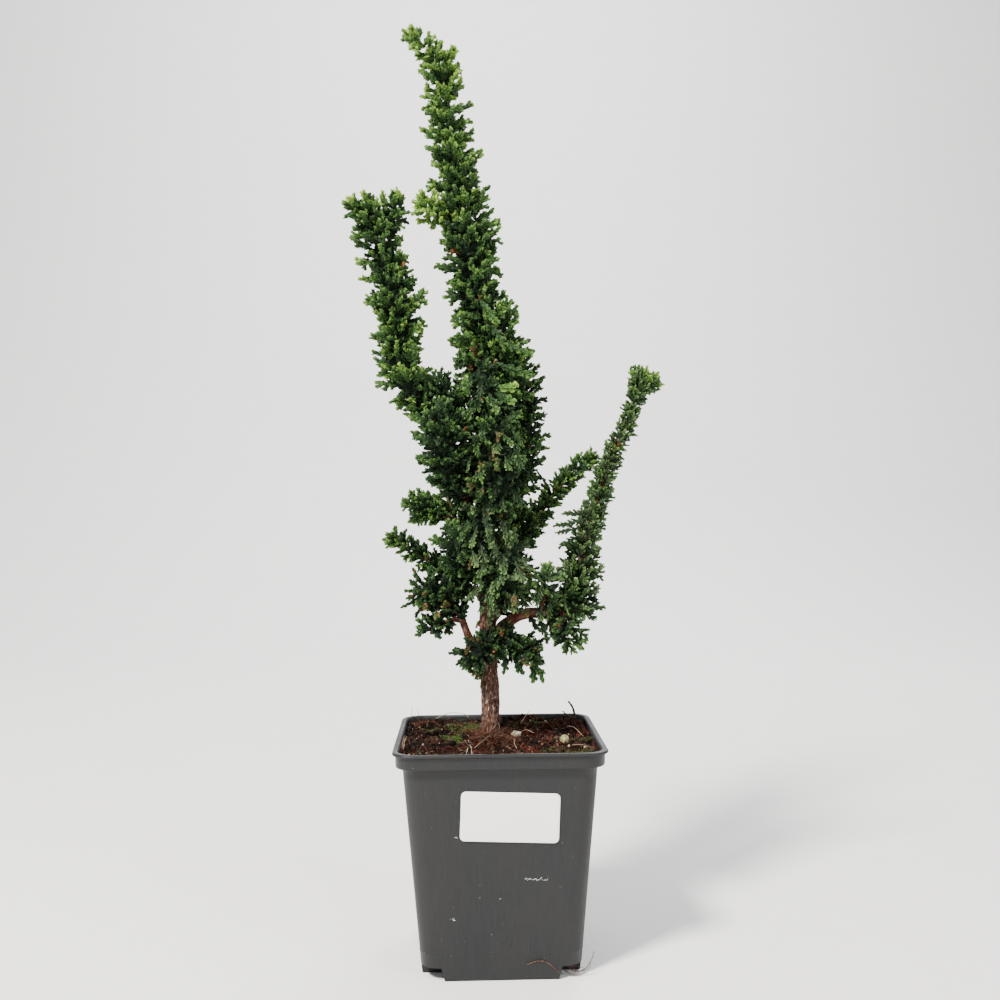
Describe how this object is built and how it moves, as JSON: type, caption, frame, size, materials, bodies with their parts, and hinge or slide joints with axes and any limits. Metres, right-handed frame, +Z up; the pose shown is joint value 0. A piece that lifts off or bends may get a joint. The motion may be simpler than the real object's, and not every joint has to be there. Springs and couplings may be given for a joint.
{
  "type": "potted hinoki cypress bonsai",
  "caption": "Young upright conifer with flat scale-leaf sprays in plumes on a thin trunk, growing in soil in a tapered square plastic nursery pot with a blank label.",
  "frame": {"origin": "centre of the pot's flat base, on the surface it stands on", "axes": "+Z up, -Y towards the labelled front of the pot, +X to the right of the front"},
  "size_m": [0.172, 0.11, 0.504],
  "materials": {
    "pot_plastic": "thin moulded plastic, dusty, satin",
    "label_paper": "blank white sticker",
    "bark": "fibrous red-brown bark",
    "soil": "dark peat with pale grains",
    "foliage": "deep green scale leaves, yellow-green at the tips",
    "moss": "fuzzy olive moss",
    "pale_scrap": "dry and pale"
  },
  "bodies": {
    "root": {"pot": "pot_plastic", "label": "label_paper", "trunk_and_limbs": "bark", "soil": "soil", "moss_tuft_1": "moss", "moss_tuft_2": "moss", "pale_ball": "pale_scrap", "bark_scrap": "pale_scrap", "twig": "pale_scrap", "root_loop": "pale_scrap", "foliage_leader": "foliage", "foliage_left_spire": "foliage", "foliage_left_dome": "foliage", "foliage_right_body": "foliage", "foliage_front_upper": "foliage", "foliage_front_lower": "foliage", "foliage_back_upper": "foliage", "foliage_back_left": "foliage", "foliage_back_lower": "foliage", "foliage_back_right": "foliage", "foliage_mid_left": "foliage", "foliage_left_knob": "foliage", "foliage_left_point": "foliage", "foliage_low_left": "foliage", "foliage_low_left_tip": "foliage", "foliage_skirt_left": "foliage", "foliage_skirt_right": "foliage", "foliage_skirt_back": "foliage", "foliage_right_long": "foliage", "foliage_right_second": "foliage", "foliage_right_droop": "foliage", "foliage_right_mid": "foliage"}
  },
  "joints": []
}
